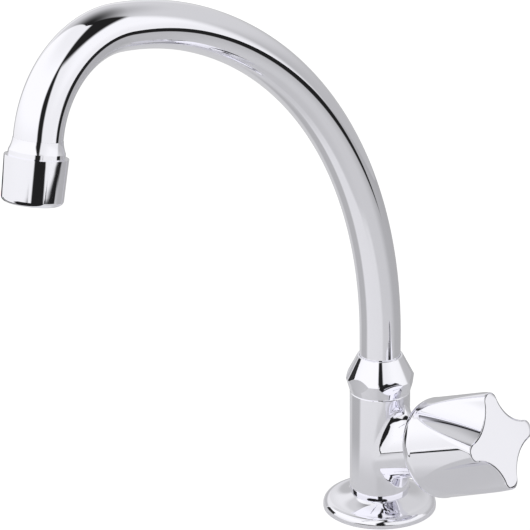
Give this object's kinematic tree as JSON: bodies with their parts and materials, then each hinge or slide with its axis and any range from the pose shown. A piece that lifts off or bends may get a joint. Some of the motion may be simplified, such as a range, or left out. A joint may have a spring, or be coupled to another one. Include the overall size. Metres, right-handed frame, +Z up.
{
  "type": "kitchen pillar tap",
  "caption": "Deck-mounted kitchen tap: upright body on a round flange, swan-neck swivel spout with an aerator, and a lobed knob on an inclined side branch.",
  "frame": {"origin": "on the deck face, where the axis of the tap's body crosses it", "axes": "+Z up along the body's axis; the spout points towards -Y at rest; the handle's branch points towards +X and rises 21.2 degrees"},
  "size_m": [0.1045, 0.246, 0.3206],
  "materials": {
    "chrome": "polished",
    "brass": "machined",
    "steel": "satin",
    "rubber": "matte",
    "fibre": "matte",
    "plastic": "matte",
    "ceramic": "polished"
  },
  "bodies": {
    "base": {"base_flange": "chrome", "flange_gasket": "rubber", "inlet_shank": "brass", "shank_ring": "fibre", "deck_washer_rubber": "rubber", "deck_washer_steel": "steel", "back_nut": "brass", "valve_body": "chrome", "gland_nut": "chrome", "slip_ring": "plastic", "seat_seal": "rubber", "disc_fixed": "ceramic", "headwork_body": "brass", "headwork_ring": "fibre"},
    "spout": {"spout_foot": "brass", "spout_oring_lower": "rubber", "spout_oring_upper": "rubber", "spout_tube": "chrome", "outlet_adapter": "chrome", "aerator_gasket": "rubber", "aerator_housing": "chrome", "aerator_insert": "plastic", "aerator_screen_upper": "steel", "aerator_screen_lower": "steel"},
    "handle": {"disc_moving": "ceramic", "spindle": "brass", "spindle_oring": "rubber", "spindle_clip": "steel", "knob_shell": "chrome", "knob_face": "chrome", "knob_screw": "steel"}
  },
  "joints": [
    {"name": "spout_swivel", "type": "hinge", "parent": "base", "child": "spout", "pos_m": [0, 0, 0.067], "axis": [0, 0, 1], "continuous": true},
    {"name": "handle_turn", "type": "hinge", "parent": "base", "child": "handle", "pos_m": [0, 0, 0.0261], "axis": [0.9323, 0, 0.3616], "range_deg": [0, 90]}
  ]
}
